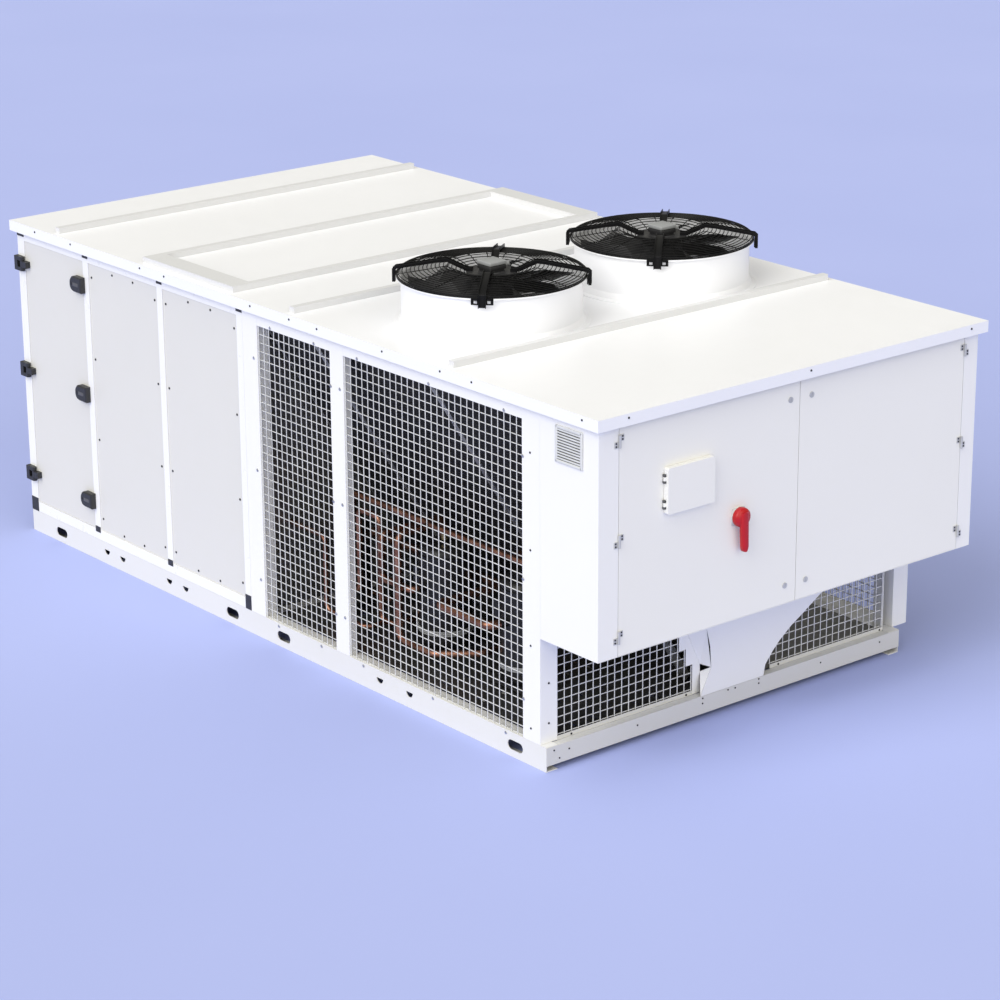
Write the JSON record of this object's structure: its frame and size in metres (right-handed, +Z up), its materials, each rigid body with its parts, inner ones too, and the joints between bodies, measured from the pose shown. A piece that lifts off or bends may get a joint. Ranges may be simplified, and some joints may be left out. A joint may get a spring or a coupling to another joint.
{
  "type": "packaged rooftop air conditioner",
  "caption": "White rooftop air conditioner with axial condenser fans, mesh-guarded coils, scroll compressors, an electrical cabinet and an air handling section.",
  "frame": {"origin": "centre of the bounding box on the plane the base rails stand on", "axes": "+Z up, +Y from the electrical cabinet to the rear of the air handling section, +X to the right seen from the cabinet"},
  "size_m": [2.2662, 4.4446, 1.903],
  "materials": {
    "white_paint": "satin powder coat, white",
    "galvanised": "galvanised sheet",
    "white_profile": "white coated aluminium profile",
    "panel_grey": "light grey coated sheet",
    "black_plastic": "black moulded plastic",
    "black_steel": "black powder coat",
    "wire": "galvanised welded wire",
    "black_fins": "black coated fins",
    "light_alloy": "mill aluminium",
    "copper": "bare copper tube",
    "cast_iron": "machined grey iron",
    "steel": "ground steel",
    "red_plastic": "red moulded plastic",
    "grey_plastic": "grey moulded plastic",
    "light_plastic": "light grey moulded plastic",
    "zinc": "zinc plated",
    "dark_screw": "black screw heads",
    "filter_media": "pleated filter cloth"
  },
  "bodies": {
    "unit": {"base_long_rails": "white_paint", "base_cross_rails": "white_paint", "floor_panels": "galvanised", "condenser_frame": "white_paint", "ahu_frame": "white_profile", "plastic_caps": "black_plastic", "insulated_panels": "panel_grey", "bulkheads": "galvanised", "roof_sheets": "white_paint", "roof_seams": "white_paint", "fan_shrouds": "white_paint", "fan_guards": "black_steel", "fan_arms": "black_steel", "fan_motors": "black_steel", "side_mesh_left": "wire", "side_mesh_right": "wire", "front_mesh": "wire", "front_centre_panel": "white_paint", "condenser_coils": "black_fins", "coil_headers": "light_alloy", "cabinet_shell": "white_paint", "cabinet_vents": "light_plastic", "mounting_plate": "galvanised", "wiring_ducts": "grey_plastic", "switchgear": "grey_plastic", "compressor_shells": "black_steel", "compressor_feet": "black_plastic", "compressor_stators": "steel", "compressor_castings": "cast_iron", "copper_pipes": "copper", "liquid_receiver": "black_steel", "evaporator_coil": "light_alloy", "air_filters": "filter_media", "supply_motor": "cast_iron", "panel_screws": "dark_screw", "mesh_clips": "zinc"},
    "condenser_fan_left": {"fan_rotor_left": "black_plastic"},
    "condenser_fan_right": {"fan_rotor_right": "black_plastic"},
    "supply_fan_wheel": {"supply_impeller": "steel"},
    "cabinet_leaf_left": {"cabinet_door_left": "white_paint", "door_hinges_left": "zinc", "display_panel": "black_plastic", "switch_collar": "grey_plastic"},
    "cabinet_leaf_right": {"cabinet_door_right": "white_paint", "door_hinges_right": "zinc"},
    "cover": {"display_cover": "white_paint"},
    "isolator": {"switch_handle": "red_plastic"},
    "key_upper_left": {"lock_upper_left": "zinc"},
    "key_lower_left": {"lock_lower_left": "zinc"},
    "key_upper_right": {"lock_upper_right": "zinc"},
    "key_lower_right": {"lock_lower_right": "zinc"},
    "access_leaf": {"access_door": "panel_grey", "access_hinges": "black_plastic"},
    "grip_lower": {"latch_lower": "black_plastic"},
    "grip_middle": {"latch_middle": "black_plastic"},
    "grip_upper": {"latch_upper": "black_plastic"},
    "crank_1": {"crankshaft_1": "steel"},
    "crank_2": {"crankshaft_2": "steel"},
    "orbiter_1": {"orbiting_scroll_1": "cast_iron"},
    "orbiter_2": {"orbiting_scroll_2": "cast_iron"}
  },
  "joints": [
    {"name": "condenser_fan_left_spin", "type": "hinge", "parent": "unit", "child": "condenser_fan_left", "pos_m": [-0.5, -0.774, 1.77], "axis": [0, 0, 1], "continuous": true},
    {"name": "condenser_fan_right_spin", "type": "hinge", "parent": "unit", "child": "condenser_fan_right", "pos_m": [0.5, -0.774, 1.77], "axis": [0, 0, 1], "continuous": true},
    {"name": "supply_fan_spin", "type": "hinge", "parent": "unit", "child": "supply_fan_wheel", "pos_m": [0, 1.696, 0.85], "axis": [0, 1, 0], "continuous": true},
    {"name": "cabinet_left_swing", "type": "hinge", "parent": "unit", "child": "cabinet_leaf_left", "pos_m": [-0.993, -2.17, 1.08], "axis": [0, 0, -1], "range_deg": [0, 110]},
    {"name": "cabinet_right_swing", "type": "hinge", "parent": "unit", "child": "cabinet_leaf_right", "pos_m": [1.015, -2.17, 1.08], "axis": [0, 0, 1], "range_deg": [0, 110]},
    {"name": "cover_swing", "type": "hinge", "parent": "cabinet_leaf_left", "child": "cover", "pos_m": [-0.7525, -2.173, 1.248], "axis": [0, 0, -1], "range_deg": [0, 100]},
    {"name": "isolator_turn", "type": "hinge", "parent": "cabinet_leaf_left", "child": "isolator", "pos_m": [-0.331, -2.184, 1.046], "axis": [0, -1, 0], "range_deg": [0, 90]},
    {"name": "key_upper_left_turn", "type": "hinge", "parent": "cabinet_leaf_left", "child": "key_upper_left", "pos_m": [-0.042, -2.159, 1.49], "axis": [0, 1, 0], "range_deg": [0, 90]},
    {"name": "key_lower_left_turn", "type": "hinge", "parent": "cabinet_leaf_left", "child": "key_lower_left", "pos_m": [-0.051, -2.159, 0.672], "axis": [0, 1, 0], "range_deg": [0, 90]},
    {"name": "key_upper_right_turn", "type": "hinge", "parent": "cabinet_leaf_right", "child": "key_upper_right", "pos_m": [0.081, -2.159, 1.489], "axis": [0, 1, 0], "range_deg": [0, 90]},
    {"name": "key_lower_right_turn", "type": "hinge", "parent": "cabinet_leaf_right", "child": "key_lower_right", "pos_m": [0.072, -2.159, 0.671], "axis": [0, 1, 0], "range_deg": [0, 90]},
    {"name": "access_swing", "type": "hinge", "parent": "unit", "child": "access_leaf", "pos_m": [-1.112, 2.155, 0.85], "axis": [0, 0, -1], "range_deg": [0, 110]},
    {"name": "grip_lower_turn", "type": "hinge", "parent": "access_leaf", "child": "grip_lower", "pos_m": [-1.1, 1.648, 0.309], "axis": [1, 0, 0], "range_deg": [0, 90]},
    {"name": "grip_middle_turn", "type": "hinge", "parent": "access_leaf", "child": "grip_middle", "pos_m": [-1.1, 1.648, 0.859], "axis": [1, 0, 0], "range_deg": [0, 90]},
    {"name": "grip_upper_turn", "type": "hinge", "parent": "access_leaf", "child": "grip_upper", "pos_m": [-1.1, 1.648, 1.41], "axis": [1, 0, 0], "range_deg": [0, 90]},
    {"name": "crank_1_spin", "type": "hinge", "parent": "unit", "child": "crank_1", "pos_m": [-0.7, -1.244, 0.35], "axis": [0, 0, 1], "continuous": true},
    {"name": "orbit_1_counter", "type": "hinge", "parent": "crank_1", "child": "orbiter_1", "pos_m": [-0.6902, -1.244, 0.44], "axis": [0, 0, 1], "continuous": true},
    {"name": "crank_2_spin", "type": "hinge", "parent": "unit", "child": "crank_2", "pos_m": [-0.7, -0.674, 0.35], "axis": [0, 0, 1], "continuous": true},
    {"name": "orbit_2_counter", "type": "hinge", "parent": "crank_2", "child": "orbiter_2", "pos_m": [-0.6902, -0.674, 0.44], "axis": [0, 0, 1], "continuous": true}
  ],
  "couplings": [
    {"joint": "orbit_1_counter", "follows": "crank_1_spin", "ratio": -1},
    {"joint": "orbit_2_counter", "follows": "crank_2_spin", "ratio": -1}
  ]
}
